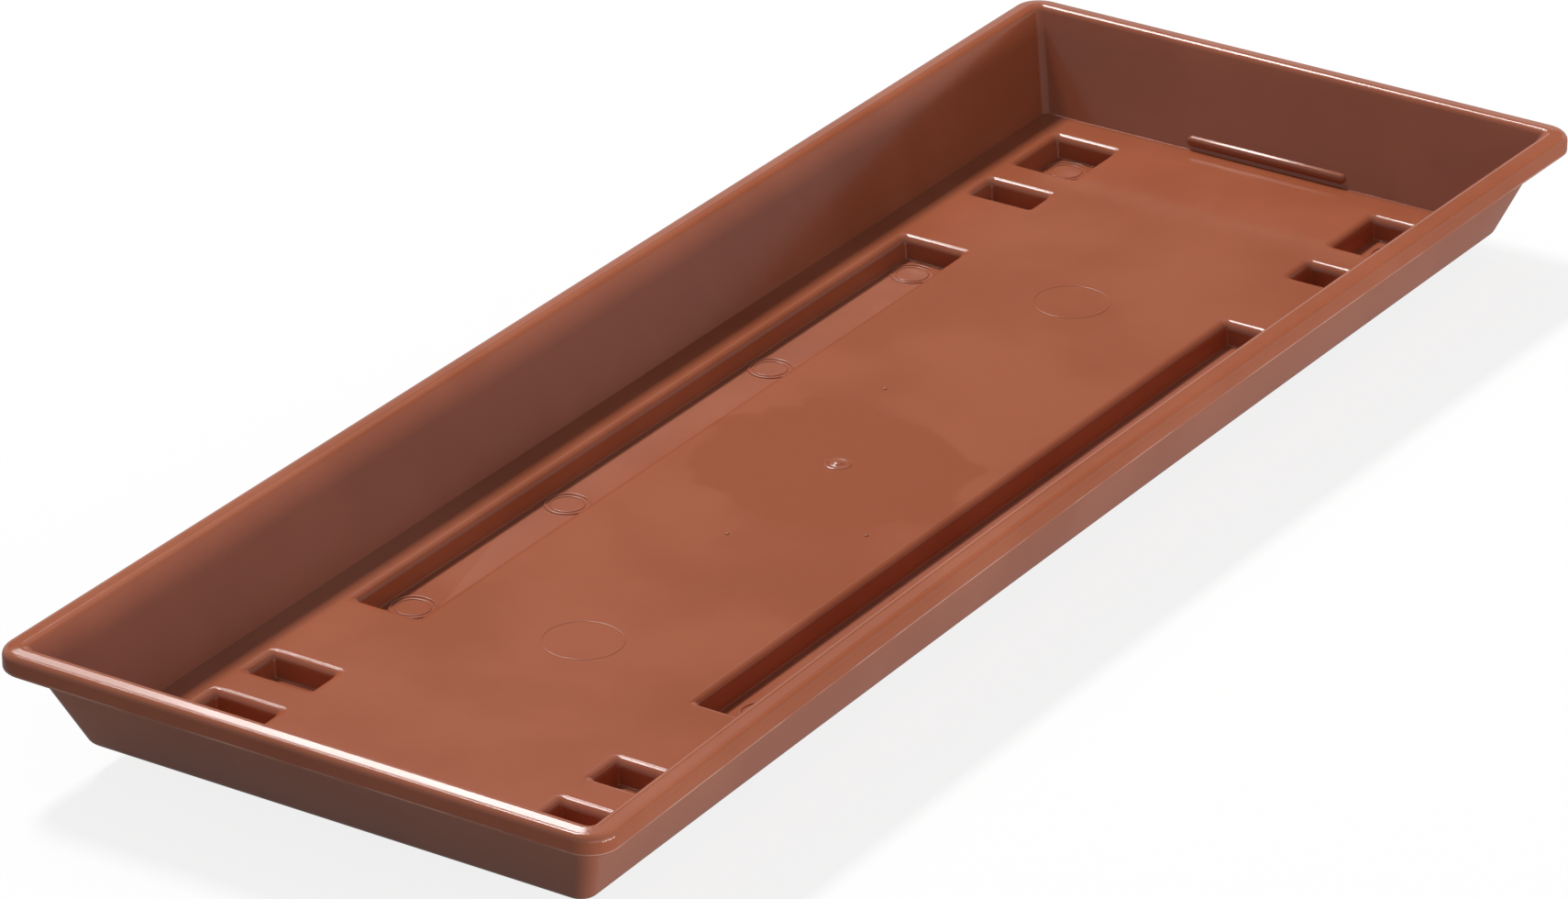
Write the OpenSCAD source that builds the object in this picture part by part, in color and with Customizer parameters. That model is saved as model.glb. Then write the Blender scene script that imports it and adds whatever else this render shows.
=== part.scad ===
// Long plant saucer for a window box, one thin-walled moulding.
// The walls lean out from a flat floor to a thick lip. Hollow feet are pressed down out of the floor and
// hold it off the table: a long channel along each side and two small pockets in every corner.
// The origin is the middle of the footprint on the table. X runs along the length, Z is up. Millimetres.

/* [Saucer] */
// Length over the lip
rim_length = 400; // [340:1:600]
// Width over the lip
rim_width = 145; // [125:1:220]
// Height from the table to the top of the lip
height = 28.7; // [25:0.1:40]
// Thickness of the walls, the floor and the feet
wall = 1.8; // [1.7:0.1:2.4]

/* [Walls] */
// How far an end wall leans out between the floor and the lip
end_flare = 10; // [3:0.1:14]
// How far a side wall leans out between the floor and the lip
side_flare = 8.4; // [3:0.1:14]
// Radius inside the corner between two walls
wall_corner = 1.6; // [1.2:0.1:6]
// Round inside, between the floor and the walls
floor_round = 0.3; // [0.2:0.1:1.2]
// Round outside, between the underside and the walls
base_round = 2.5; // [0.6:0.1:3.5]

/* [Lip] */
// Width of the lip from its outer face to its inner edge
lip_width = 5.1; // [4.6:0.1:8]
// Height of the lip's outer face
lip_height = 4.6; // [3:0.1:8]
// Round along the lip's outer top edge
lip_outer_round = 1.7; // [0.3:0.1:2]
// Round along the lip's inner top edge
lip_inner_round = 2.1; // [0.2:0.1:2.5]

/* [Feet] */
// Depth of the feet below the floor
foot_depth = 5; // [4:0.1:6]
// Width of every foot's mouth, across the saucer
foot_width = 19.3; // [14:0.1:26]
// Length of the mouth of an outer corner pocket
outer_pocket_length = 22.4; // [14:0.1:30]
// Length of the mouth of an inner corner pocket
inner_pocket_length = 12.7; // [11:0.1:20]
// Floor left between an end wall and the outer pocket
end_margin = 8.2; // [5:0.1:16]
// Floor left between the two pockets of a corner
pocket_gap = 7.2; // [5:0.1:16]
// Floor left between the inner pocket and the channel
channel_gap = 25.2; // [6:0.1:40]
// Floor left between a side wall and the feet
side_margin = 7.5; // [5:0.1:16]
// Round over the edge of a mouth
mouth_round = 2.3; // [0.4:0.1:3]
// Round inside the bottom of a foot
foot_round = 0.4; // [0.2:0.1:0.8]
// Slope of a foot's sides from upright, in degrees
foot_draft = 10; // [1:0.5:12]

/* [End ribs] */
// Length of the rib on each end wall
rib_length = 42; // [10:0.5:80]
// Radius of the round rib
rib_radius = 1.3; // [0.6:0.1:1.3]
// How far the rib's centre line lies behind the face of the wall, so that it stands clear of the floor
rib_sink = 0.4; // [0.35:0.05:0.4]
// Height of the rib's centre line above the floor
rib_rise = 1.75; // [1.7:0.05:8]

/* [Hidden] */
$fn = 48;
terracotta = [0.65, 0.36, 0.26];

// Straight pieces in a corner between two walls, and in a round along an edge
corner_steps = 6;
round_steps = 4;
// How far a cut reaches past the face that it opens
cut = 1;

// Levels
underside_z = foot_depth;
floor_z = foot_depth + wall;
lip_z = height - lip_height;
inner_depth = height - floor_z;

// Where the floor would meet the walls without its round
floor_half_length = rim_length / 2 - lip_width - end_flare;
floor_half_width = rim_width / 2 - lip_width - side_flare;
end_lean = atan(end_flare / inner_depth);
side_lean = atan(side_flare / inner_depth);
least_lean = min(end_lean, side_lean);

// The lip keeps its width around the corner
lip_corner = wall_corner + lip_width;

// The feet stand in two rows
foot_y = floor_half_width - side_margin - foot_width / 2;
outer_pocket_x = floor_half_length - end_margin - outer_pocket_length / 2;
inner_pocket_x = outer_pocket_x - outer_pocket_length / 2 - pocket_gap - inner_pocket_length / 2;
channel_length = 2 * (inner_pocket_x - inner_pocket_length / 2 - channel_gap);

// A foot's sides slope and run smoothly into the rounds at the mouth and at the bottom.
// The centre of the bottom round and the top of the outside lie this far in from the edge of the mouth
mouth_z = floor_z - mouth_round;
foot_round_z = wall + foot_round;
foot_top_z = floor_z - wall / 2;
foot_outer_round = foot_round + wall;
foot_round_in = (mouth_round + foot_round) / cos(foot_draft) + (mouth_z - foot_round_z) * tan(foot_draft);
foot_top_in = foot_round_in - foot_outer_round / cos(foot_draft) - (foot_top_z - foot_round_z) * tan(foot_draft);

// Distance of a wall's inner face from the middle, at height z
function inner_face(z, half, lean) = half + (z - floor_z) * tan(lean);

// A face that leans by lean and runs into the level z0 through a round
function rounded_foot(z, face_at_centre, lean, z0, radius) =
    let (rise = z - z0 - radius)
    face_at_centre - radius / cos(lean)
        + (rise < -radius * sin(lean) ? sqrt(max(0, radius ^ 2 - rise ^ 2)) : radius / cos(lean) + rise * tan(lean));

// Heights of the points along such a round, from the level up to the end of the round
function round_levels(z0, radius) =
    [for (i = [0 : round_steps]) z0 + radius * (1 - cos((90 - least_lean) * i / round_steps))];

// Distance of the outside of a wall from the middle, with the round at the base
function outside(z, half, lean) =
    rounded_foot(z, inner_face(underside_z + base_round, half, lean) + wall / cos(lean), lean,
                 underside_z, base_round);

// Distance of the inside of a wall from the middle, with the rounds at the floor and the lip
function inside(z, half, lean) =
    let (rise = z - height + lip_inner_round)
    let (lip_centre = inner_face(height, half, lean) + lip_inner_round / tan(45 + lean / 2))
    z > height ? lip_centre
    : rise > lip_inner_round * sin(lean) ? lip_centre - sqrt(max(0, lip_inner_round ^ 2 - rise ^ 2))
    : rounded_foot(z, inner_face(floor_z + floor_round, half, lean), lean, floor_z, floor_round);

// Rounded rectangle at height z, as points that run anticlockwise
function ring(half_length, half_width, radius, z) =
    [for (quarter = [0 : 3], i = [0 : corner_steps])
        let (turn = 90 * (quarter + i / corner_steps))
        let (side_x = quarter == 0 || quarter == 3 ? 1 : -1)
        let (side_y = quarter < 2 ? 1 : -1)
        [side_x * (half_length - radius) + radius * cos(turn),
         side_y * (half_width - radius) + radius * sin(turn), z]];

// Solid through a stack of rings, lowest first
module loft(rings) {
    count = len(rings[0]);
    top = len(rings) - 1;
    points = [for (one = rings) each one];
    sides = [for (k = [0 : top - 1], i = [0 : count - 1])
        let (j = (i + 1) % count)
        each [[k * count + i, (k + 1) * count + i, (k + 1) * count + j],
              [k * count + i, (k + 1) * count + j, k * count + j]]];
    bottom_face = [for (i = [0 : count - 1]) i];
    top_face = [for (i = [count - 1 : -1 : 0]) top * count + i];
    polyhedron(points, concat([bottom_face], sides, [top_face]));
}

// Outside of the walls and the floor, up into the lip
module outer_block() {
    levels = concat(round_levels(underside_z, base_round), [height - lip_outer_round]);
    loft([for (z = levels)
        let (length_at = outside(z, floor_half_length, end_lean))
        let (width_at = outside(z, floor_half_width, side_lean))
        let (plain = inner_face(z, floor_half_length, end_lean) + wall / cos(end_lean))
        ring(length_at, width_at, wall_corner + wall - plain + length_at, z)]);
}

// Room inside the walls, open at the top
module basin() {
    lip_levels = [for (i = [0 : round_steps])
        height - lip_inner_round * (1 - sin(least_lean + (90 - least_lean) * i / round_steps))];
    levels = concat(round_levels(floor_z, floor_round), lip_levels, [height + cut]);
    loft([for (z = levels)
        let (length_at = inside(z, floor_half_length, end_lean))
        let (width_at = inside(z, floor_half_width, side_lean))
        let (plain = inner_face(min(z, height), floor_half_length, end_lean))
        ring(length_at, width_at, wall_corner - plain + length_at, z)]);
}

// Section swept around a rounded rectangle: x points out from its outline, y points up
module swept_frame(length, width, corner) {
    for (side = [0, 180])
        rotate(side) {
            translate([0, width / 2, 0])
                rotate([90, 0, 90])
                    linear_extrude(length - 2 * corner, center = true)
                        children();
            translate([length / 2, 0, 0])
                rotate([90, 0, 0])
                    linear_extrude(width - 2 * corner, center = true)
                        children();
            translate([length / 2 - corner, width / 2 - corner, 0])
                rotate_extrude(angle = 90)
                    translate([corner, 0])
                        children();
            translate([corner - length / 2, width / 2 - corner, 0])
                rotate(90)
                    rotate_extrude(angle = 90)
                        translate([corner, 0])
                            children();
        }
}

// Section of the lip, with its outer face on the Y axis and its inner side buried in the wall
module lip_section() {
    reach = lip_width + wall / 2;
    translate([-reach, lip_z])
        square([reach - lip_outer_round, lip_height]);
    translate([-lip_outer_round, lip_z])
        square([lip_outer_round, lip_height - lip_outer_round]);
    translate([-lip_outer_round, height - lip_outer_round])
        circle(lip_outer_round);
}

module lip() {
    swept_frame(rim_length, rim_width, lip_corner)
        lip_section();
}

// Points along an arc of a section, from one angle to another
function arc(centre_x, centre_z, radius, from, to) =
    [for (i = [0 : round_steps])
        let (turn = from + (to - from) * i / round_steps)
        [centre_x + radius * cos(turn), centre_z + radius * sin(turn)]];

// One side of a foot, outside and inside, as points [distance out from the edge of the mouth, height]
foot_side = concat(
    arc(-foot_round_in, foot_round_z, foot_outer_round, -90, -foot_draft),
    [[-foot_top_in, foot_top_z]]
);
hollow_side = concat(
    arc(-foot_round_in, foot_round_z, foot_round, -90, -foot_draft),
    arc(0, mouth_z, mouth_round, 180 - foot_draft, 90),
    [[0, floor_z + cut]]
);

// Section across a foot, with the given side on its right and mirrored on its left
module foot_section(side, width) {
    right = [for (point = side) [width / 2 + point.x, point.y]];
    left = [for (i = [len(side) - 1 : -1 : 0]) [-width / 2 - side[i].x, side[i].y]];
    polygon(concat(right, left));
}

// Rectangular plug: two bars with the same sides cross, and what they share has four such sides
module plug(side, length, width) {
    intersection() {
        rotate([90, 0, 90])
            linear_extrude(length + 2 * cut, center = true)
                foot_section(side, width);
        rotate([90, 0, 0])
            linear_extrude(width + 2 * cut, center = true)
                foot_section(side, length);
    }
}

// Repeats a foot of each kind at all its places; the child is told its length by $foot_length
module at_feet() {
    for (side_y = [-1, 1])
        translate([0, side_y * foot_y, 0]) {
            let ($foot_length = channel_length)
                children();
            for (side_x = [-1, 1]) {
                translate([side_x * inner_pocket_x, 0, 0])
                    let ($foot_length = inner_pocket_length)
                        children();
                translate([side_x * outer_pocket_x, 0, 0])
                    let ($foot_length = outer_pocket_length)
                        children();
            }
        }
}

module feet() {
    at_feet()
        plug(foot_side, $foot_length, foot_width);
}

module foot_hollows() {
    at_feet()
        plug(hollow_side, $foot_length, foot_width);
}

// Round rib with round ends, sunk in the inside of each end wall just above the floor
module end_ribs() {
    rib_x = inner_face(floor_z + rib_rise, floor_half_length, end_lean) + rib_sink;
    straight = rib_length - 2 * rib_radius;
    for (side = [-1, 1])
        translate([side * rib_x, 0, floor_z + rib_rise]) {
            rotate([90, 0, 0])
                cylinder(r = rib_radius, h = straight, center = true);
            for (end = [-1, 1])
                translate([0, end * straight / 2, 0])
                    sphere(rib_radius);
        }
}

module saucer() {
    color(terracotta) {
        difference() {
            union() {
                outer_block();
                lip();
                feet();
            }
            basin();
            foot_hollows();
        }
        end_ribs();
    }
}

saucer();
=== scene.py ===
# %% [markdown]
# # A terracotta plant saucer
# This lesson dresses the CAD model of a long plant saucer, the tray that stands under a window box. The
# real one is a single plastic moulding, so the lesson makes one careful skin with true rounds on every
# edge, then the small marks that the mould left on it, a plastic finish, and a plain studio around it.

from math import atan, cos, pi, radians, sin, tan

import bmesh
import bpy
from mathutils import Matrix, Vector


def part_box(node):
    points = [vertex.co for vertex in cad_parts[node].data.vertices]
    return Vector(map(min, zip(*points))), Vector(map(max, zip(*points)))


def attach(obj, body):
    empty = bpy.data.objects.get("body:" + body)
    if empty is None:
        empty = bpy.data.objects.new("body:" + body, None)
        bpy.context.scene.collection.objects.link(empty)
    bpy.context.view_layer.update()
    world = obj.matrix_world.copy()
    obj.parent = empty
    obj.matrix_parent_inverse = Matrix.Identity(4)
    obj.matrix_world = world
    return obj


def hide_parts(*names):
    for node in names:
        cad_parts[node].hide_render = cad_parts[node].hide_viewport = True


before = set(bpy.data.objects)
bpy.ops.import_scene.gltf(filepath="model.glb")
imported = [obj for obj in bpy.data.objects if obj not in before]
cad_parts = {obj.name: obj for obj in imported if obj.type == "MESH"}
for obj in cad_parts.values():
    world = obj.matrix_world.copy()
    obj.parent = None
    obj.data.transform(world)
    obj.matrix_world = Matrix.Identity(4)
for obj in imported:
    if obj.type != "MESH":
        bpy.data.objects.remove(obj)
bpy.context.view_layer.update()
LOW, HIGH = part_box("saucer")
print("CAD box in metres:", tuple(round(v, 4) for v in HIGH - LOW))

# %% [markdown]
# ## Sizes
# Everything is in metres, as in the CAD frame. The three overall sizes come from the CAD node itself.
# The others are sizes of the moulding, written in millimetres times `MM`, and the rest is worked out
# from them, so that the skin lies on the CAD solid. Sizes that only one step needs are given in that
# step.

# %% Overall sizes of the moulding
MM = 0.001
RIM_HALF_LENGTH = (HIGH.x - LOW.x) / 2
RIM_HALF_WIDTH = (HIGH.y - LOW.y) / 2
RIM_Z = HIGH.z

WALL = 1.8 * MM
LIP_WIDTH = 5.1 * MM
END_FLARE = 10.0 * MM
SIDE_FLARE = 8.4 * MM
FOOT_DEPTH = 5.0 * MM

UNDERSIDE_Z = FOOT_DEPTH
FLOOR_Z = UNDERSIDE_Z + WALL
FLOOR_HALF_LENGTH = RIM_HALF_LENGTH - LIP_WIDTH - END_FLARE
FLOOR_HALF_WIDTH = RIM_HALF_WIDTH - LIP_WIDTH - SIDE_FLARE
print("floor:", round(2 * FLOOR_HALF_LENGTH, 4), "by", round(2 * FLOOR_HALF_WIDTH, 4))

# %% [markdown]
# ## Rings
# Cut the saucer level at any height and the cut is a rectangle with rounded corners. So the skin can be
# a stack of such rings, joined by quads. A box with a Bevel modifier would be quicker, but it gives all
# its edges one round, and a moulding has a different one on each. All rings of a stack have the same
# number of points, which keeps the quads tidy, and long sides carry extra points so that they can bend
# a little.

# %% A ring of points
CORNER_STEPS = 10
LONG_STEPS = 40
SHORT_STEPS = 14
QUARTERS = [(1, 1), (-1, 1), (-1, -1), (1, -1)]


def straight(start, end, steps):
    """Points between two ends, without the ends themselves."""
    return [start.lerp(end, i / steps) for i in range(1, steps)]


def ring(half_x, half_y, corner, end_z, side_z, centre=(0, 0), steps=(LONG_STEPS, SHORT_STEPS)):
    """Rounded rectangle, anticlockwise from above. The ends lie at end_z, the long sides at side_z."""
    arcs = []
    for quarter, (side_x, side_y) in enumerate(QUARTERS):
        corner_arc = []
        for i in range(CORNER_STEPS + 1):
            turn = pi / 2 * (quarter + i / CORNER_STEPS)
            corner_arc.append(Vector((
                centre[0] + side_x * (half_x - corner) + corner * cos(turn),
                centre[1] + side_y * (half_y - corner) + corner * sin(turn),
                end_z + (side_z - end_z) * abs(sin(turn)),
            )))
        arcs.append(corner_arc)
    points = []
    for quarter, corner_arc in enumerate(arcs):
        following = arcs[(quarter + 1) % len(arcs)]
        points += corner_arc + straight(corner_arc[-1], following[0], steps[quarter % 2])
    return points


rim_ring = ring(RIM_HALF_LENGTH, RIM_HALF_WIDTH, LIP_WIDTH, RIM_Z, RIM_Z)
print("points in a wall ring:", len(rim_ring))


# %% A skin between rings
def add_ring(bm, points):
    """Vertices of one ring."""
    return [bm.verts.new(p) for p in points]


def skin(bm, rings):
    """Quads between neighbouring rings of vertices."""
    for lower, upper in zip(rings, rings[1:]):
        count = len(lower)
        for i in range(count):
            j = (i + 1) % count
            bm.faces.new((lower[i], lower[j], upper[j], upper[i]))


def loop_edges(bm, verts):
    """The edges around one ring of vertices."""
    pairs = zip(verts, verts[1:] + verts[:1])
    return [bm.edges.get(pair) or bm.edges.new(pair) for pair in pairs]


print("quads between two wall rings:", len(rim_ring))

# %% [markdown]
# ## Section of the lip
# A plastic wall has no sharp edges: steel is hard to cut to a sharp inside corner, and hot plastic
# doesn't fill one. So each turn of the section is an arc, a short list of points worked out from its
# centre. The lip is the thick band around the rim that stiffens the saucer. Its top falls slightly
# outwards between two rounds, and two extra points on this flat land keep its shading flat up to the
# rounds.

# %% Points on an arc and on a line, and the lip
ARC_STEPS = 8
LIP_HEIGHT = 4.6 * MM
LIP_OUTER_ROUND = 1.7 * MM
LIP_INNER_ROUND = 2.1 * MM
LIP_FALL = 0.2 * MM
LIP_FOOT_ROUND = 0.5 * MM
LIP_FOOT_STEPS = 3
LIP_Z = RIM_Z - LIP_HEIGHT
LAND_SHARES = (0.12, 0.88)


def arc(centre_d, centre_z, radius, start, end, steps=ARC_STEPS):
    """Points on an arc of a section, as (distance from the middle, height), angles in radians."""
    turns = [start + (end - start) * i / steps for i in range(steps + 1)]
    return [(centre_d + radius * cos(t), centre_z + radius * sin(t)) for t in turns]


def between(start, end, share):
    """Point of a section on the line from one point to another."""
    return tuple(a + (b - a) * share for a, b in zip(start, end))


def lip_section(rim_half, lean):
    """The lip, from its foot on the outside over the top to the inner face."""
    foot_d = rim_half - LIP_FOOT_ROUND
    foot = arc(foot_d, LIP_Z + LIP_FOOT_ROUND, LIP_FOOT_ROUND, -pi / 2, 0, LIP_FOOT_STEPS)
    outer_d = rim_half - LIP_OUTER_ROUND
    outer_z = RIM_Z - LIP_FALL - LIP_OUTER_ROUND
    inner_d = rim_half - LIP_WIDTH + LIP_INNER_ROUND / tan(pi / 4 + lean / 2)
    inner_z = RIM_Z - LIP_INNER_ROUND
    tilt = atan(LIP_FALL / (outer_d - inner_d))
    outer = arc(outer_d, outer_z, LIP_OUTER_ROUND, 0, pi / 2 - tilt)
    inner = arc(inner_d, inner_z, LIP_INNER_ROUND, pi / 2 - tilt, pi - lean)
    land = [between(outer[-1], inner[0], share) for share in LAND_SHARES]
    return foot + outer + land + inner


print("points around the lip:", len(lip_section(RIM_HALF_LENGTH, 0)))

# %% [markdown]
# ## Section of a wall
# The wall is the same thickness all the way, as mouldings are, so that it cools evenly. Its section
# runs from the underside around the base round, up the outside, around the lip, and down the inside to
# the floor. A Solidify modifier could give the thickness, but here both faces are drawn, because the
# rounds differ. A support point next to the rounds keeps the shading of flat faces flat.

# %% Join the parts of the section
BASE_ROUND = 2.5 * MM
FLOOR_ROUND = 0.1 * MM
TIGHT_STEPS = 4
SUPPORT = 0.4 * MM


def wall_section(rim_half, flare):
    """Section of one wall, from the underside around the lip to the floor."""
    lean = atan(flare / (RIM_Z - FLOOR_Z))

    def inside(z):
        return rim_half - LIP_WIDTH - (RIM_Z - z) * tan(lean)

    def outside(z):
        return inside(z) + WALL / cos(lean)

    base_z = UNDERSIDE_Z + BASE_ROUND
    base_d = outside(base_z) - BASE_ROUND / cos(lean)
    base = arc(base_d, base_z, BASE_ROUND, -pi / 2, -lean)
    floor_z = FLOOR_Z + FLOOR_ROUND
    floor_d = inside(floor_z) - FLOOR_ROUND / cos(lean)
    floor = arc(floor_d, floor_z, FLOOR_ROUND, -lean, -pi / 2, TIGHT_STEPS)
    below_lip = LIP_Z - SUPPORT

    section = [(base[0][0] - SUPPORT, UNDERSIDE_Z)] + base
    section += [(outside(below_lip), below_lip), (outside(LIP_Z), LIP_Z)]
    section += lip_section(rim_half, lean)
    section += floor + [(floor[-1][0] - SUPPORT, FLOOR_Z)]
    return section


END_SECTION = wall_section(RIM_HALF_LENGTH, END_FLARE)
SIDE_SECTION = wall_section(RIM_HALF_WIDTH, SIDE_FLARE)
print("points in the section:", len(END_SECTION))

# %% [markdown]
# ## Walls
# The end walls lean out further than the side walls, so the two sections differ, but they have the same
# number of points and pair up into rings. The corner radius grows with the distance from the inner
# face, so the wall keeps its thickness around the corner. One long wall of the real saucer is drawn in
# a little at mid-length, as long thin mouldings often are when they cool. Moving the points before they
# become vertices is the simplest way to bend it.

# %% Stack the wall rings
WALL_CORNER = 1.6 * MM
PAST_WALL = 1.3 * WALL
SIDE_BOW = 2.85 * MM
BASE_BOW_SHARE = 0.45


def corner_radius(distance, z):
    """Radius at a point of the end section, concentric with the inner corner of wall or lip."""
    inner = RIM_HALF_LENGTH - LIP_WIDTH - (RIM_Z - z) * END_FLARE / (RIM_Z - FLOOR_Z)
    on_lip = z > LIP_Z - SUPPORT / 2 and distance > inner + PAST_WALL
    if on_lip:
        inner = RIM_HALF_LENGTH - LIP_WIDTH
    return WALL_CORNER + distance - inner


def draw_in(point):
    """Bows the long wall at -Y inwards, most at the rim."""
    if point.y > -FLOOR_HALF_WIDTH + SIDE_FLARE / 2:
        return point
    rise = min(1, max(0, (point.z - FLOOR_Z) / (RIM_Z - FLOOR_Z)))
    share = BASE_BOW_SHARE + (1 - BASE_BOW_SHARE) * rise
    inwards = SIDE_BOW * share * (1 - (point.x / RIM_HALF_LENGTH) ** 2)
    return point + Vector((0, inwards, 0))


shell = bmesh.new()
wall_rings = []
for (end_d, end_z), (side_d, side_z) in zip(END_SECTION, SIDE_SECTION):
    points = ring(end_d, side_d, corner_radius(end_d, end_z), end_z, side_z)
    wall_rings.append(add_ring(shell, [draw_in(p) for p in points]))
skin(shell, wall_rings)
print("wall faces:", len(shell.faces))

# %% [markdown]
# ## Places of the feet
# Two long channels and eight small pockets are pressed down out of the floor. From inside they are
# hollows with rounded mouths, from below they are feet that keep the floor dry. Their places follow
# from a few gaps, counted from the wall inwards, and the channel takes what is left in the middle.

# %% Where the feet stand
FOOT_WIDTH = 19.3 * MM
SIDE_MARGIN = 7.5 * MM
END_MARGIN = 8.2 * MM
OUTER_POCKET = 22.4 * MM
INNER_POCKET = 12.7 * MM
POCKET_GAP = 7.2 * MM
CHANNEL_GAP = 25.2 * MM

FOOT_Y = FLOOR_HALF_WIDTH - SIDE_MARGIN - FOOT_WIDTH / 2
OUTER_X = FLOOR_HALF_LENGTH - END_MARGIN - OUTER_POCKET / 2
INNER_X = OUTER_X - OUTER_POCKET / 2 - POCKET_GAP - INNER_POCKET / 2
CHANNEL = 2 * (INNER_X - INNER_POCKET / 2 - CHANNEL_GAP)
FEET = [(0, CHANNEL)]
FEET += [(side * INNER_X, INNER_POCKET) for side in (-1, 1)]
FEET += [(side * OUTER_X, OUTER_POCKET) for side in (-1, 1)]
print("channel length:", round(CHANNEL, 4))

# %% [markdown]
# ## Section of a foot
# A foot's sides lean by a few degrees, the draft, so that it comes out of the mould. The hollow has a
# wide round at its mouth and a tight one at the bottom. The outside follows it at one wall thickness,
# so its lower round has the same centre and a larger radius. Both are lists of points, as for the wall.

# %% Both sides of a foot, as (inset from the mouth, height)
MOUTH_ROUND = 2.3 * MM
FOOT_ROUND = 0.4 * MM
FOOT_DRAFT = radians(10)
ROUND_Z = WALL + FOOT_ROUND
SIDE_RISE = FLOOR_Z - MOUTH_ROUND - ROUND_Z
ROUND_INSET = (MOUTH_ROUND + FOOT_ROUND) / cos(FOOT_DRAFT) + SIDE_RISE * tan(FOOT_DRAFT)
OUTER_RADIUS = FOOT_ROUND + WALL
FOOT_TOP = OUTER_RADIUS / cos(FOOT_DRAFT) + (UNDERSIDE_Z - ROUND_Z) * tan(FOOT_DRAFT)


def inset(points):
    """Turns distances from the lower round's centre into insets from the mouth."""
    return [(ROUND_INSET - d, z) for d, z in points]


mouth_turns = [(pi / 2 - FOOT_DRAFT) * i / ARC_STEPS for i in range(ARC_STEPS + 1)]
HOLLOW = [(-SUPPORT, FLOOR_Z)]
HOLLOW += [(MOUTH_ROUND * sin(t), FLOOR_Z - MOUTH_ROUND * (1 - cos(t))) for t in mouth_turns]
HOLLOW += inset(arc(0, ROUND_Z, FOOT_ROUND, -FOOT_DRAFT, -pi / 2, TIGHT_STEPS))
OUTSIDE = inset([(FOOT_TOP + SUPPORT, UNDERSIDE_Z), (FOOT_TOP, UNDERSIDE_Z)])
OUTSIDE += inset(arc(0, ROUND_Z, OUTER_RADIUS, -FOOT_DRAFT, -pi / 2))
print("hollow depth:", round(HOLLOW[0][1] - HOLLOW[-1][1], 4))

# %% [markdown]
# ## Feet, floor and underside
# Each side of a foot is again a stack of rings, with the same inset on every side. Then the floor and
# the underside are filled in between the wall and the feet. A Boolean modifier could cut the hollows
# instead, but it leaves long thin faces around them, while a fill between finished edges keeps the
# rounds as they are.

# %% Build both sides of every foot and close the skin
MOUTH_CORNER = 2.0 * MM
FOOT_CORNER = 0.5 * MM
FOOT_STEPS = (4, 2)


def foot_rings(bm, x, y, length, section):
    """Stack of rings for one side of a foot, closed at the bottom. Gives back the top ring."""
    rings = []
    for amount, z in section:
        narrowing = (FOOT_CORNER - MOUTH_CORNER) * amount / MOUTH_ROUND
        corner = max(FOOT_CORNER, MOUTH_CORNER + narrowing)
        points = ring(length / 2 - amount, FOOT_WIDTH / 2 - amount, corner, z, z, (x, y), FOOT_STEPS)
        rings.append(add_ring(bm, points))
    skin(bm, rings)
    bm.faces.new(rings[-1])
    return rings[0]


floor_edges = loop_edges(shell, wall_rings[-1])
underside_edges = loop_edges(shell, wall_rings[0])
for side in (-1, 1):
    for foot_x, foot_length in FEET:
        mouth_ring = foot_rings(shell, foot_x, side * FOOT_Y, foot_length, HOLLOW)
        floor_edges += loop_edges(shell, mouth_ring)
        outer_ring = foot_rings(shell, foot_x, side * FOOT_Y, foot_length, OUTSIDE)
        underside_edges += loop_edges(shell, outer_ring)
for edges in (floor_edges, underside_edges):
    bmesh.ops.triangle_fill(shell, edges=edges, use_beauty=True)
bmesh.ops.recalc_face_normals(shell, faces=shell.faces)
open_edges = [e for e in shell.edges if len(e.link_faces) != 2]
print("faces:", len(shell.faces), "open edges:", len(open_edges))

# %% [markdown]
# ## Shading the skin
# Light runs smoothly over a moulding's rounds and breaks only at a true step, such as the one under the
# lip. So all faces are smooth, and only edges that turn by more than a set angle stay crisp. Shading by
# angle is enough here, because every round already has its own faces.

# %% Turn the skin into an object
CRISP_ANGLE = radians(38)


def finish_mesh(name, bm):
    """Makes a smooth-shaded object of a bmesh and frees it."""
    mesh = bpy.data.meshes.new(name)
    bm.to_mesh(mesh)
    bm.free()
    mesh.shade_smooth()
    mesh.set_sharp_from_angle(angle=CRISP_ANGLE)
    made = bpy.data.objects.new(name, mesh)
    bpy.context.scene.collection.objects.link(made)
    return made


saucer_skin = finish_mesh("saucer_skin", shell)
print(saucer_skin.name, len(saucer_skin.data.polygons), "faces")

# %% [markdown]
# ## End ribs
# Low on each end wall there is a round rib with round ends. A capsule that is sunk a little more than
# half into the wall gives just that, and it keeps clear of the flat floor. It is made of rings along
# its axis, whose radius follows a circle at both ends. A narrow flat along the top, leaning towards the
# middle, gives the rib its bright line, because a flat mirrors a light over its whole width, and a
# round only in a thin line.

# %% Sizes of a rib and a ring around it
RIB_LENGTH = 42 * MM
RIB_RADIUS = 1.3 * MM
RIB_RISE = 1.75 * MM
RIB_SINK = 0.4 * MM
RIB_AROUND = 48
RIB_END_STEPS = 8
RIB_FLAT_TILT = radians(22)
RIB_FLAT_HALF = radians(15)
RIB_X = FLOOR_HALF_LENGTH + RIB_RISE * END_FLARE / (RIM_Z - FLOOR_Z) + RIB_SINK
RIB_Z = FLOOR_Z + RIB_RISE


def flattened(turn, side):
    """Share of the radius at a turn around the rib, 1 off the flat, less on it."""
    gap = abs(turn - (pi / 2 + side * RIB_FLAT_TILT))
    return cos(RIB_FLAT_HALF) / cos(gap) if gap < RIB_FLAT_HALF else 1


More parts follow.
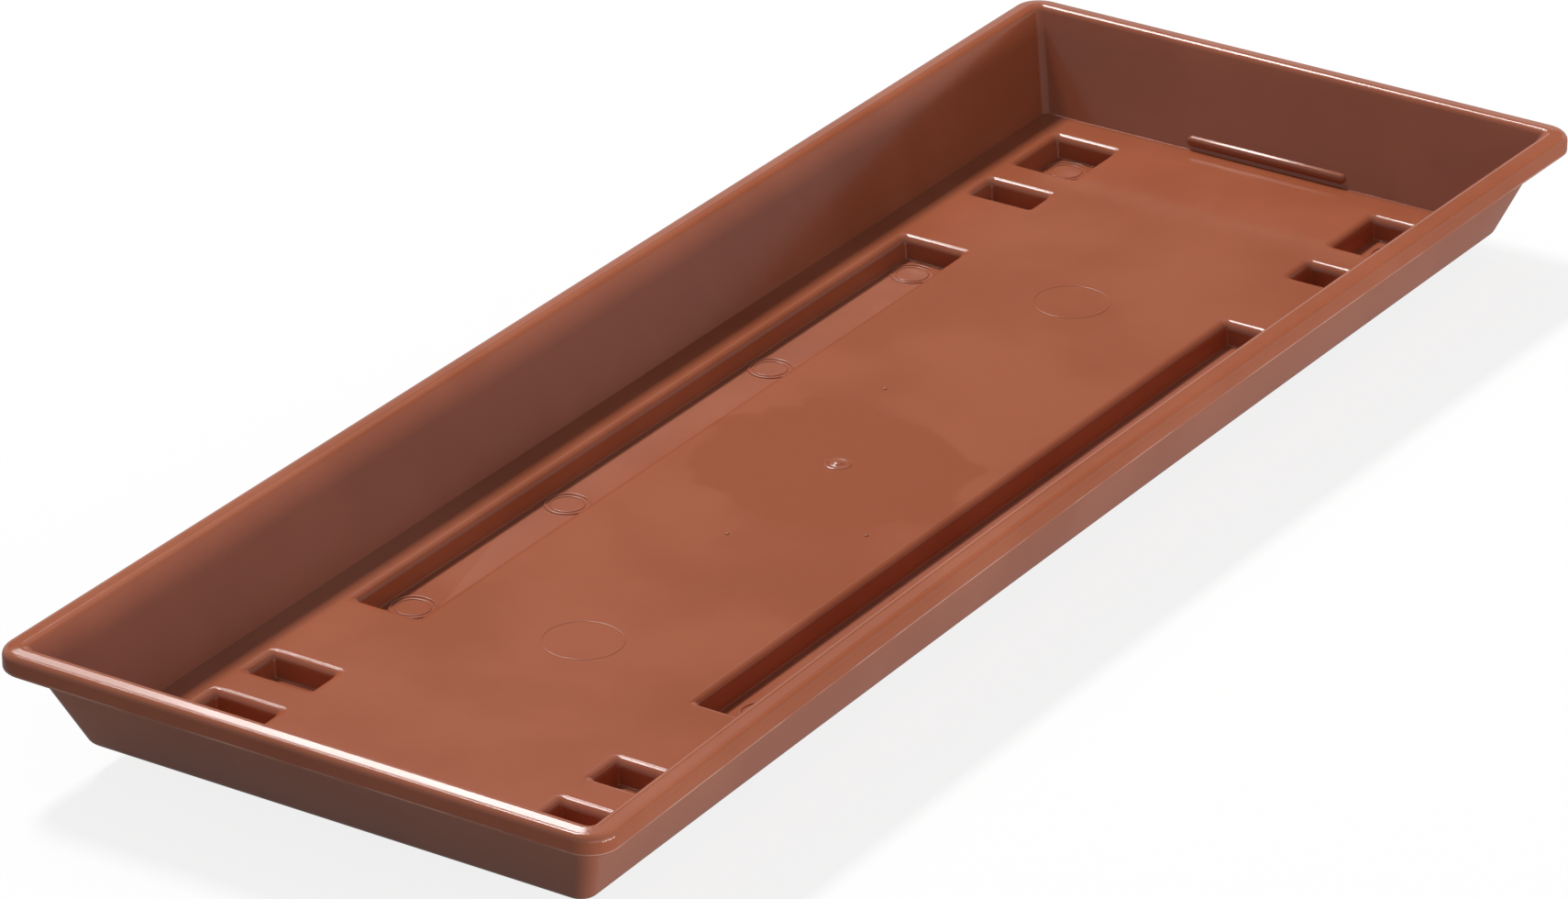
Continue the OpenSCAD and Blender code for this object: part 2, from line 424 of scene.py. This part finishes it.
def rib_ring(side, y, radius):
    """Points around the rib of one end, at one place along it."""
    points = []
    for i in range(RIB_AROUND):
        turn = 2 * pi * i / RIB_AROUND
        reach = radius * flattened(turn, side)
        points.append(Vector((side * RIB_X + reach * cos(turn), y, RIB_Z + reach * sin(turn))))
    return points


print("depth of the flat:", round(RIB_RADIUS * (1 - cos(RIB_FLAT_HALF)), 6))

# %% Make the two ribs
half_straight = RIB_LENGTH / 2 - RIB_RADIUS
end_turns = [pi / 2 * i / RIB_END_STEPS for i in range(1, RIB_END_STEPS)]
end_stations = [(-half_straight - RIB_RADIUS * cos(t), RIB_RADIUS * sin(t)) for t in end_turns]
stations = end_stations + [(-half_straight, RIB_RADIUS), (half_straight, RIB_RADIUS)]
stations += [(-y, radius) for y, radius in reversed(end_stations)]

ribs = bmesh.new()
for side in (-1, 1):
    rib_rings = [add_ring(ribs, rib_ring(side, y, radius)) for y, radius in stations]
    skin(ribs, rib_rings)
    ribs.faces.new(rib_rings[0])
    ribs.faces.new(rib_rings[-1])
bmesh.ops.recalc_face_normals(ribs, faces=ribs.faces)
end_ribs = finish_mesh("end_ribs", ribs)
print(end_ribs.name, len(end_ribs.data.polygons), "faces")

# %% [markdown]
# ## Plastic
# The saucer is polypropylene, coloured through. Its finish is one Principled shader, fed by a few
# patterns. An image could hold these patterns, but noise that is worked out at every point needs no
# unwrapping and has no seams. All patterns read Object coordinates, in metres. The helpers below make
# one node each and give back its output, so that the steps after them read like formulas.

# %% Helpers for shader nodes

# Where a Mix node has its two values and its result, counted among its sockets.
MIX_SOCKETS = {"FLOAT": (2, 3, 0), "RGBA": (6, 7, 2)}


def node(tree, kind, **settings):
    """A new node with its settings."""
    made = tree.nodes.new(kind)
    for key, value in settings.items():
        setattr(made, key, value)
    return made


def feed(tree, value, socket):
    """Links an output to a socket, or writes a plain number or colour on it."""
    if hasattr(value, "is_output"):
        tree.links.new(value, socket)
    else:
        socket.default_value = value


def combine(tree, operation, first, second=0):
    """A maths node on two outputs or numbers."""
    made = node(tree, "ShaderNodeMath", operation=operation)
    feed(tree, first, made.inputs[0])
    feed(tree, second, made.inputs[1])
    return made.outputs[0]


def noise(tree, place, scale, detail):
    """Smooth random values between 0 and 1, mostly near a half."""
    made = node(tree, "ShaderNodeTexNoise")
    made.inputs["Scale"].default_value = scale
    made.inputs["Detail"].default_value = detail
    tree.links.new(place, made.inputs["Vector"])
    return made.outputs["Fac"]


def remap(tree, value, source, target):
    """Goes smoothly from one span of numbers to another, and stays at its ends."""
    made = node(tree, "ShaderNodeMapRange", interpolation_type="SMOOTHSTEP")
    names = ("From Min", "From Max", "To Min", "To Max")
    for name, number in zip(names, (*source, *target)):
        made.inputs[name].default_value = number
    tree.links.new(value, made.inputs["Value"])
    return made.outputs["Result"]


def mix(tree, kind, factor, first, second):
    """Goes from one number or colour to another as the factor goes from 0 to 1."""
    made = node(tree, "ShaderNodeMix", data_type=kind)
    first_socket, second_socket, result = MIX_SOCKETS[kind]
    tree.links.new(factor, made.inputs["Factor"])
    feed(tree, first, made.inputs[first_socket])
    feed(tree, second, made.inputs[second_socket])
    return made.outputs[result]


terracotta = bpy.data.materials.new("terracotta_plastic")
terracotta.use_nodes = True
finish = terracotta.node_tree
plastic = finish.nodes["Principled BSDF"]
place = node(finish, "ShaderNodeTexCoord").outputs["Object"]
print("terracotta starts with", len(finish.nodes), "nodes")

# %% [markdown]
# ## Colour
# The pigment is not spread quite evenly, so the terracotta varies a little over the surface. Around the
# middle of the floor, where the plastic came in, the first flow leaves a slightly deeper patch. It is a
# round patch by distance from the middle, and noise that is added to the distance makes its edge
# ragged.

# %% Clouds and the flow patch
DEEP_TONE = (0.355, 0.097, 0.044, 1)
PALE_TONE = (0.398, 0.116, 0.057, 1)
FLOW_TONE = (0.352, 0.095, 0.042, 1)
NOISE_SPAN = (0.35, 0.65)
CLOUD_NOISE = (26, 3)
FLOW_NOISE = (60, 2)
FLOW_RADIUS = 31.5 * MM
FLOW_RAGGED = 24 * MM
FLOW_FADE = 3 * MM
FLOW_MIDDLE = FLOW_RADIUS + FLOW_RAGGED / 2
FLOW_EDGE = (FLOW_MIDDLE - FLOW_FADE / 2, FLOW_MIDDLE + FLOW_FADE / 2)

cloud = remap(finish, noise(finish, place, *CLOUD_NOISE), NOISE_SPAN, (0, 1))
tone = mix(finish, "RGBA", cloud, DEEP_TONE, PALE_TONE)

from_middle = node(finish, "ShaderNodeVectorMath", operation="LENGTH")
finish.links.new(place, from_middle.inputs[0])
raggedness = combine(finish, "MULTIPLY", noise(finish, place, *FLOW_NOISE), FLOW_RAGGED)
flow_distance = combine(finish, "ADD", raggedness, from_middle.outputs["Value"])
flow = remap(finish, flow_distance, FLOW_EDGE, (1, 0))
tone = mix(finish, "RGBA", flow, tone, FLOW_TONE)
print("flow patch radius:", FLOW_RADIUS)

# %% [markdown]
# ## Mould line, painted as a highlight
# Where the two halves of the mould meet, at the foot of the lip's outer face, a fine pale line shows.
# The line is a painted highlight: its pale tone stands in for the light that this edge catches. It is
# too thin to be worth modelling, so it is painted in the colour: it shows near one height, only on the
# outer half of the lip, and noise breaks it up.

# %% A broken painted highlight around the lip
# Painted highlight: this pale tone stands in for the light that the lip's lower edge catches.
LIP_HIGHLIGHT_TONE = (0.6, 0.36, 0.29, 1)
LINE_Z = LIP_Z + 0.55 * MM
LINE_HALF = 0.22 * MM
LINE_NOISE = (45, 3)
LINE_BREAKS = (0.4, 0.6)
LINE_STRENGTH = (0.2, 1)
LIP_MIDDLE_INSET = LIP_WIDTH / 2 + SIDE_BOW / 2
LIP_MIDDLE_X = RIM_HALF_LENGTH - LIP_MIDDLE_INSET
LIP_MIDDLE_Y = RIM_HALF_WIDTH - LIP_MIDDLE_INSET

axes = node(finish, "ShaderNodeSeparateXYZ")
finish.links.new(place, axes.inputs[0])
x, y, z = axes.outputs
past_end = combine(finish, "GREATER_THAN", combine(finish, "ABSOLUTE", x), LIP_MIDDLE_X)
past_side = combine(finish, "GREATER_THAN", combine(finish, "ABSOLUTE", y), LIP_MIDDLE_Y)
on_outer_half = combine(finish, "MAXIMUM", past_end, past_side)
line_gap = combine(finish, "ABSOLUTE", combine(finish, "SUBTRACT", z, LINE_Z))
near_line = remap(finish, line_gap, (0, LINE_HALF), (1, 0))
broken = remap(finish, noise(finish, place, *LINE_NOISE), LINE_BREAKS, LINE_STRENGTH)
line = combine(finish, "MULTIPLY", combine(finish, "MULTIPLY", on_outer_half, near_line), broken)
# Paints the highlight line into the base colour, along the lip's lower edge.
tone = mix(finish, "RGBA", line, tone, LIP_HIGHLIGHT_TONE)
finish.links.new(tone, plastic.inputs["Base Color"])
print("mould line at height:", round(LINE_Z, 5))

# %% [markdown]
# ## Gloss
# Such a saucer has a satin gloss. The floor is a little duller than the walls, and the hollows are
# duller still, because narrow pockets in a mould are harder to polish. Height alone tells these apart:
# the floor is a thin level layer, and all that lies below it is a hollow or a foot. One material with a
# roughness that follows the height is simpler than three materials on one skin.

# %% Roughness by height
SPECULAR_LEVEL = 0.4
GLOSS_ROUGHNESS = (0.11, 0.13)
GLOSS_NOISE = (90, 2)
FLOOR_ROUGHNESS = 0.15
FLOOR_BELOW = FLOOR_Z - 0.06 * MM
FLOOR_ABOVE = FLOOR_Z + 1.0 * MM
HOLLOW_ROUGHNESS = 0.24
HOLLOW_EDGE = (FLOOR_Z - 2.0 * MM, FLOOR_Z - 0.8 * MM)

over_lower = combine(finish, "GREATER_THAN", z, FLOOR_BELOW)
under_upper = combine(finish, "LESS_THAN", z, FLOOR_ABOVE)
on_floor = combine(finish, "MULTIPLY", over_lower, under_upper)
in_hollow = remap(finish, z, HOLLOW_EDGE, (1, 0))
gloss = remap(finish, noise(finish, place, *GLOSS_NOISE), NOISE_SPAN, GLOSS_ROUGHNESS)
gloss = mix(finish, "FLOAT", on_floor, gloss, FLOOR_ROUGHNESS)
gloss = mix(finish, "FLOAT", in_hollow, gloss, HOLLOW_ROUGHNESS)
finish.links.new(gloss, plastic.inputs["Roughness"])
plastic.inputs["Specular IOR Level"].default_value = SPECULAR_LEVEL
print("roughness from", GLOSS_ROUGHNESS[0], "to", HOLLOW_ROUGHNESS)

# %% [markdown]
# ## Grain
# The steel of the mould is never a perfect mirror, and its fine texture is printed on the plastic. It
# is much too fine to model, so a Bump node tilts the light a little with a very fine noise.

# %% A very fine bump
GRAIN_NOISE = (1800, 2)
GRAIN_STRENGTH = 0.06
GRAIN_DEPTH = 0.05 * MM

grain = node(finish, "ShaderNodeBump")
grain.inputs["Strength"].default_value = GRAIN_STRENGTH
grain.inputs["Distance"].default_value = GRAIN_DEPTH
finish.links.new(noise(finish, place, *GRAIN_NOISE), grain.inputs["Height"])
finish.links.new(grain.outputs["Normal"], plastic.inputs["Normal"])
print("terracotta nodes:", len(finish.nodes))

# %% [markdown]
# ## Marks of the mould
# Round pins push the cooled saucer out of the mould and leave a fine double ring where they touched:
# four in each channel and one in each outer pocket. Two larger single rings and a few tiny pips are on
# the floor. A ring is a thin ridge that repeats, which suits Geometry Nodes: a circle swept with a
# small flat section, set on a list of points. A pip is the same ring, so small that it closes.

# %% Inputs and nodes of the ring tree
RING_POINTS = 72
RIDGE_POINTS = 12


def group_input(tree, name, value):
    """Adds a named size to a node tree and gives back the identifier that a modifier sets it by."""
    socket = tree.interface.new_socket(name, in_out="INPUT", socket_type="NodeSocketFloat")
    socket.default_value = value
    return socket.identifier


ring_tree = bpy.data.node_groups.new("witness_rings", "GeometryNodeTree")
ring_tree.interface.new_socket("Geometry", in_out="INPUT", socket_type="NodeSocketGeometry")
RADIUS_INPUT = group_input(ring_tree, "Ring Radius", 5 * MM)
WIDTH_INPUT = group_input(ring_tree, "Ridge Width", 0.5 * MM)
HEIGHT_INPUT = group_input(ring_tree, "Ridge Height", 0.1 * MM)
ring_tree.interface.new_socket("Geometry", in_out="OUTPUT", socket_type="NodeSocketGeometry")

given = node(ring_tree, "NodeGroupInput")
result = node(ring_tree, "NodeGroupOutput")
path = node(ring_tree, "GeometryNodeCurvePrimitiveCircle")
path.inputs["Resolution"].default_value = RING_POINTS
profile = node(ring_tree, "GeometryNodeCurvePrimitiveCircle")
profile.inputs["Resolution"].default_value = RIDGE_POINTS
half_width = node(ring_tree, "ShaderNodeMath", operation="DIVIDE")
half_width.inputs[1].default_value = 2
flatness = node(ring_tree, "ShaderNodeMath", operation="DIVIDE")
squash = node(ring_tree, "ShaderNodeCombineXYZ")
squash.inputs["X"].default_value = 1
squash.inputs["Y"].default_value = 1
sweep = node(ring_tree, "GeometryNodeCurveToMesh")
flatten = node(ring_tree, "GeometryNodeTransform")
set_on_points = node(ring_tree, "GeometryNodeInstanceOnPoints")
realize = node(ring_tree, "GeometryNodeRealizeInstances")
paint = node(ring_tree, "GeometryNodeSetMaterial")
paint.inputs["Material"].default_value = terracotta
print("witness ring nodes:", len(ring_tree.nodes))

# %% Links of the ring tree, in the order in which the ring is made
for source, target in (
    (given.outputs["Ring Radius"], path.inputs["Radius"]),
    (given.outputs["Ridge Width"], half_width.inputs[0]),
    (half_width.outputs[0], profile.inputs["Radius"]),
    (given.outputs["Ridge Height"], flatness.inputs[0]),
    (half_width.outputs[0], flatness.inputs[1]),
    (flatness.outputs[0], squash.inputs["Z"]),
    (path.outputs["Curve"], sweep.inputs["Curve"]),
    (profile.outputs["Curve"], sweep.inputs["Profile Curve"]),
    (sweep.outputs["Mesh"], flatten.inputs["Geometry"]),
    (squash.outputs["Vector"], flatten.inputs["Scale"]),
    (given.outputs["Geometry"], set_on_points.inputs["Points"]),
    (flatten.outputs["Geometry"], set_on_points.inputs["Instance"]),
    (set_on_points.outputs["Instances"], realize.inputs["Geometry"]),
    (realize.outputs["Geometry"], paint.inputs["Geometry"]),
    (paint.outputs["Geometry"], result.inputs["Geometry"]),
):
    ring_tree.links.new(source, target)
print("witness ring links:", len(ring_tree.links))

# %% [markdown]
# ## Setting the marks
# The tree runs on a mesh of bare points, one for each mark. Its result is copied to a plain mesh,
# because the frame wants finished pieces, and the modifier and the points then go. Rings of one size
# make one piece.

# %% Places of the marks
PIN_STATIONS = (-96.5 * MM, -39.3 * MM, 40.7 * MM, 100 * MM)
PIN_Y = FOOT_Y + 1.2 * MM
POCKET_PIN_X = OUTER_X + 2.5 * MM
FLOOR_MARK_X = 97.6 * MM
PIP_PLACES = [(36.8 * MM, 11.1 * MM), (-40.9 * MM, 1.7 * MM), (-25.7 * MM, -23.2 * MM)]

pin_points = [(x, side * PIN_Y, WALL) for side in (-1, 1) for x in PIN_STATIONS]
pin_points += [(end * POCKET_PIN_X, side * PIN_Y, WALL) for end in (-1, 1) for side in (-1, 1)]
floor_points = [(end * FLOOR_MARK_X, 0, FLOOR_Z) for end in (-1, 1)]
pip_points = [(x, y, FLOOR_Z) for x, y in PIP_PLACES]
print("pins:", len(pin_points), "floor marks:", len(floor_points), "pips:", len(pip_points))

# %% Set the rings on their places
MARKS = {
    "pin_marks": (pin_points, {RADIUS_INPUT: 4.9 * MM, WIDTH_INPUT: 0.6 * MM, HEIGHT_INPUT: 0.24 * MM}),
    "pin_cores": (pin_points, {RADIUS_INPUT: 3.7 * MM, WIDTH_INPUT: 0.5 * MM, HEIGHT_INPUT: 0.16 * MM}),
    "floor_marks": (
        floor_points, {RADIUS_INPUT: 8.5 * MM, WIDTH_INPUT: 0.45 * MM, HEIGHT_INPUT: 0.1 * MM}),
    "pips": (pip_points, {RADIUS_INPUT: 0.25 * MM, WIDTH_INPUT: 0.6 * MM, HEIGHT_INPUT: 0.2 * MM}),
}


def witness_rings(name, points, sizes):
    """A plain mesh of rings, one at each point."""
    point_mesh = bpy.data.meshes.new(name + "_points")
    point_mesh.from_pydata(points, [], [])
    seed = bpy.data.objects.new(name + "_points", point_mesh)
    bpy.context.scene.collection.objects.link(seed)
    modifier = seed.modifiers.new("rings", "NODES")
    modifier.node_group = ring_tree
    for identifier, size in sizes.items():
        modifier[identifier] = size
    evaluated = seed.evaluated_get(bpy.context.evaluated_depsgraph_get())
    mesh = bpy.data.meshes.new_from_object(evaluated)
    mesh.name = name
    mesh.shade_smooth()
    made = bpy.data.objects.new(name, mesh)
    bpy.context.scene.collection.objects.link(made)
    seed.modifiers.remove(modifier)
    bpy.data.objects.remove(seed)
    return made


marks = [witness_rings(name, *mark) for name, mark in MARKS.items()]
for mark in marks:
    print(mark.name, len(mark.data.polygons), "faces")

# %% [markdown]
# ## Gate mark
# The plastic enters through one small hole in the middle of the floor. When the saucer leaves the mould
# the thread of plastic breaks off there and leaves a low round scar with a stub. It is a small turned
# form: a profile of radius and height, revolved around the middle with the rings that the walls already
# use.

# %% Turn the gate mark
GATE_PROFILE = [
    (3.2, 0), (2.95, 0.16), (2.6, 0.2), (2.1, 0.1), (1.6, 0.06),
    (1.25, 0.26), (0.85, 0.42), (0.4, 0.48),
]
GATE_AROUND = 32


def gate_ring(radius, rise):
    """Points around the gate, with radius and rise above the floor in millimetres."""
    turns = [2 * pi * i / GATE_AROUND for i in range(GATE_AROUND)]
    z = FLOOR_Z + rise * MM
    return [Vector((radius * MM * cos(t), radius * MM * sin(t), z)) for t in turns]


gate = bmesh.new()
gate_rings = [add_ring(gate, gate_ring(radius, rise)) for radius, rise in GATE_PROFILE]
skin(gate, gate_rings)
gate.faces.new(gate_rings[0])
gate.faces.new(gate_rings[-1])
bmesh.ops.recalc_face_normals(gate, faces=gate.faces)
gate_mark = finish_mesh("gate_mark", gate)
print(gate_mark.name, len(gate_mark.data.polygons), "faces")

# %% [markdown]
# ## Joining the pieces to the frame
# The skin stands for the CAD node, and everything rides on the one body of the saucer, because the real
# one is a single moulding. All pieces share the one finish, so that no seam shows between them.

# %% Materials and frame calls
for piece in (saucer_skin, end_ribs, *marks, gate_mark):
    piece.data.materials.clear()
    piece.data.materials.append(terracotta)
    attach(piece, "root")
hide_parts("saucer")

# %% [markdown]
# ## Lamps
# The saucer stands under soft light. The key comes from behind and to the left and throws the short
# shadow of the left wall onto the floor. It is in two parts at one place, of which only the weaker
# part, its sheen, shows in mirrors: a lamp as small and bright as this would burn every rounded edge
# out to white. The glint is the other way round, a lamp for mirrors alone, which draws the thin lines
# on the edges at the far end. A narrow strip behind the far end is what the near lip mirrors as a white
# band, and its tail lets that band fade to the left. A low panel on the right fills the outside of the
# right wall, and a broad one at the front softens the inner walls.

# %% Something that faces the saucer, and a lamp
AIM = Vector((0, 0, FLOOR_Z))


def facing(towards, along, distance):
    """Place of something that stands in one direction, faces the saucer and lies along another."""
    z_axis = Vector(towards).normalized()
    x_axis = Vector(along)
    x_axis = (x_axis - z_axis * x_axis.dot(z_axis)).normalized()
    turned = Matrix((x_axis, z_axis.cross(x_axis), z_axis)).transposed()
    return Matrix.Translation(AIM + z_axis * distance) @ turned.to_4x4()


def panel(name, towards, along, distance, size, level):
    """Area light on the saucer. Level is how bright a white card that faces it would look."""
    data = bpy.data.lights.new(name, "AREA")
    data.shape = "RECTANGLE"
    data.size, data.size_y = size
    data.energy = level * pi * pi * distance ** 2
    lamp = bpy.data.objects.new(name, data)
    lamp.matrix_world = facing(towards, along, distance)
    bpy.context.scene.collection.objects.link(lamp)
    return lamp


print("lamps face", tuple(round(v, 4) for v in AIM))

# %% Set up the lamps
LENGTHWAYS = (1, 0, 0)
STRIP_ALONG = (0.35, -0.86, 0.38)
FRONT_ALONG = (0.93, -0.36, 0)
KEY_FROM = (0.335, 0.535, 0.775)
KEY_DISTANCE = 6.0
KEY_SIZE = (1.36, 0.6)

# Each lamp has its direction, the direction of its long side, its distance, its size and its level.
LAMPS = {
    "key": (KEY_FROM, LENGTHWAYS, KEY_DISTANCE, KEY_SIZE, 0.6),
    "key_sheen": (KEY_FROM, LENGTHWAYS, KEY_DISTANCE, KEY_SIZE, 0.38),
    "glint": ((0.345, 0.443, 0.827), LENGTHWAYS, KEY_DISTANCE, (2.4, 0.44), 0.244),
    "strip_tail": ((0.531, 0.616, 0.594), STRIP_ALONG, 2.31, (0.26, 0.22), 0.0175),
    "strip": ((0.575, 0.507, 0.642), STRIP_ALONG, 2.29, (0.32, 0.22), 0.064),
    "front": ((-0.35, -0.9, 0.26), FRONT_ALONG, 3.0, (4.0, 1.6), 0.22),
    "fill": ((0.1, -0.99, 0.03), LENGTHWAYS, 1.8, (1.6, 0.1), 0.62),
}

lamps = {name: panel(name, *settings) for name, settings in LAMPS.items()}
lamps["key"].visible_glossy = False
lamps["glint"].visible_diffuse = False
print("lamps:", list(lamps))

# %% [markdown]
# ## White surroundings
# The saucer stands on a plain white floor under a white sky. If both really were so bright, their light
# would wash out the plastic. So a Light Path node asks what a ray is for: a ray from the camera finds
# white, a mirrored ray finds a grey, and light that falls on a surface comes from a dim sky and a grey
# floor. The floor keeps a share of its own shading, so the saucer's shadow stays.

# %% How white a ray finds the studio
def grey(level):
    """A colour without a hue."""
    return (level, level, level, 1)


def white_share(tree, seen, mirrored):
    """Share of white that a ray finds: as seen by eye, as mirrored, or 0 as light on a surface."""
    rays = node(tree, "ShaderNodeLightPath").outputs
    by_eye = combine(tree, "MAXIMUM", rays["Is Camera Ray"], rays["Is Transmission Ray"])
    eye_share = combine(tree, "MULTIPLY", by_eye, seen)
    mirror_share = combine(tree, "MULTIPLY", rays["Is Glossy Ray"], mirrored)
    either = combine(tree, "MAXIMUM", eye_share, mirror_share)
    not_diffuse = combine(tree, "LESS_THAN", rays["Diffuse Depth"], 1)
    return combine(tree, "MULTIPLY", either, not_diffuse)


SKY_LEVEL = 0.2
SKY_MIRRORED = 0.5
WHITE = grey(1)

world = bpy.data.worlds.new("studio")
bpy.context.scene.world = world
world.use_nodes = True
sky = world.node_tree
background = sky.nodes["Background"]
background.inputs["Color"].default_value = WHITE
sky_strength = mix(sky, "FLOAT", white_share(sky, 1, SKY_MIRRORED), SKY_LEVEL, 1)
sky.links.new(sky_strength, background.inputs["Strength"])
print("sky level:", SKY_LEVEL)

# %% The floor
FLOOR_SIZE = 30
FLOOR_BOUNCE = grey(0.3)
FLOOR_WHITE = grey(0.95)
FLOOR_GLOW = 0.85
FLOOR_MIRRORED = grey(0.28)

white_floor = bpy.data.materials.new("white_floor")
white_floor.use_nodes = True
paper = white_floor.node_tree
paper.nodes.remove(paper.nodes["Principled BSDF"])
is_seen = white_share(paper, 1, 0)
matte = node(paper, "ShaderNodeBsdfDiffuse")
paper.links.new(mix(paper, "RGBA", is_seen, FLOOR_BOUNCE, FLOOR_WHITE), matte.inputs["Color"])
glow = node(paper, "ShaderNodeEmission")
paper.links.new(mix(paper, "RGBA", is_seen, FLOOR_MIRRORED, WHITE), glow.inputs["Color"])
blend = node(paper, "ShaderNodeMixShader")
paper.links.new(white_share(paper, FLOOR_GLOW, 1), blend.inputs["Fac"])
paper.links.new(matte.outputs["BSDF"], blend.inputs[1])
paper.links.new(glow.outputs["Emission"], blend.inputs[2])
paper.links.new(blend.outputs["Shader"], paper.nodes["Material Output"].inputs["Surface"])

bpy.ops.mesh.primitive_plane_add(size=FLOOR_SIZE, location=(0, 0, 0))
studio_floor = bpy.context.active_object
studio_floor.name = "studio_floor"
studio_floor.data.materials.append(white_floor)
print("floor:", FLOOR_SIZE, "m wide")

# %% [markdown]
# ## Dark cards
# A glossy floor that mirrors a white sky turns pale, and photographers know the cure: they set up black
# flags where the floor would mirror the sky. Two dark cards behind the far end do the same here,
# outside the picture.

# %% Two cards behind the far end
CARD_TONE = grey(0.3)
CARD_DISTANCE = 2.9
CARDS = {
    "dark_card_left": ((0.762, 0.477, 0.438), (0.531, -0.847, 0), (2.6, 0.72)),
    "dark_card_right": ((0.811, -0.114, 0.574), (0, -1, 0), (2.4, 0.8)),
}

dark_card = bpy.data.materials.new("dark_card")
dark_card.use_nodes = True
card_inputs = dark_card.node_tree.nodes["Principled BSDF"].inputs
card_inputs["Base Color"].default_value = CARD_TONE
card_inputs["Roughness"].default_value = 1
for name, (towards, along, size) in CARDS.items():
    bpy.ops.mesh.primitive_plane_add(size=1)
    card = bpy.context.active_object
    card.name = name
    card.matrix_world = facing(towards, along, CARD_DISTANCE) @ Matrix.Diagonal((*size, 1, 1))
    card.data.materials.append(dark_card)
print("cards:", list(CARDS))

# %% [markdown]
# ## Camera
# The photograph was taken from above one end with a long lens, which keeps the far end nearly as wide
# as the near one. Azimuth is counted from a view along +Y. The camera is placed by its three axes, and
# it is moved a little sideways and up, because the saucer isn't quite in the middle of the picture.

# %% Place the camera
CAMERA_AZIMUTH = radians(-57.627)
CAMERA_ELEVATION = radians(26.019)
CAMERA_ROLL = radians(0.331)
CAMERA_DISTANCE = 1.68594
CAMERA_RIGHT = -11.477 * MM
CAMERA_UP = 3.013 * MM
CAMERA_LENS = 181.54
SENSOR_WIDTH = 36
CLIP_DISTANCE = 100

back = Vector((
    sin(CAMERA_AZIMUTH) * cos(CAMERA_ELEVATION),
    -cos(CAMERA_AZIMUTH) * cos(CAMERA_ELEVATION),
    sin(CAMERA_ELEVATION),
))
roll = Matrix.Rotation(CAMERA_ROLL, 3, back)
right = roll @ Vector((0, 0, 1)).cross(back).normalized()
up = back.cross(right)
eye = AIM + right * CAMERA_RIGHT + up * CAMERA_UP + back * CAMERA_DISTANCE
camera_data = bpy.data.cameras.new("camera")
camera_data.lens = CAMERA_LENS
camera_data.sensor_width = SENSOR_WIDTH
camera_data.clip_end = CLIP_DISTANCE
camera = bpy.data.objects.new("camera", camera_data)
camera.matrix_world = Matrix.Translation(eye) @ Matrix((right, up, back)).transposed().to_4x4()
bpy.context.scene.collection.objects.link(camera)
bpy.context.scene.camera = camera
bpy.context.scene.view_settings.view_transform = "Standard"
print("camera at", tuple(round(v, 4) for v in eye))

# %% [markdown]
# ## Finish
# Last, the view layer is brought up to date, so that every piece stands where it was put.

# %% Bring the view layer up to date
bpy.context.view_layer.update()
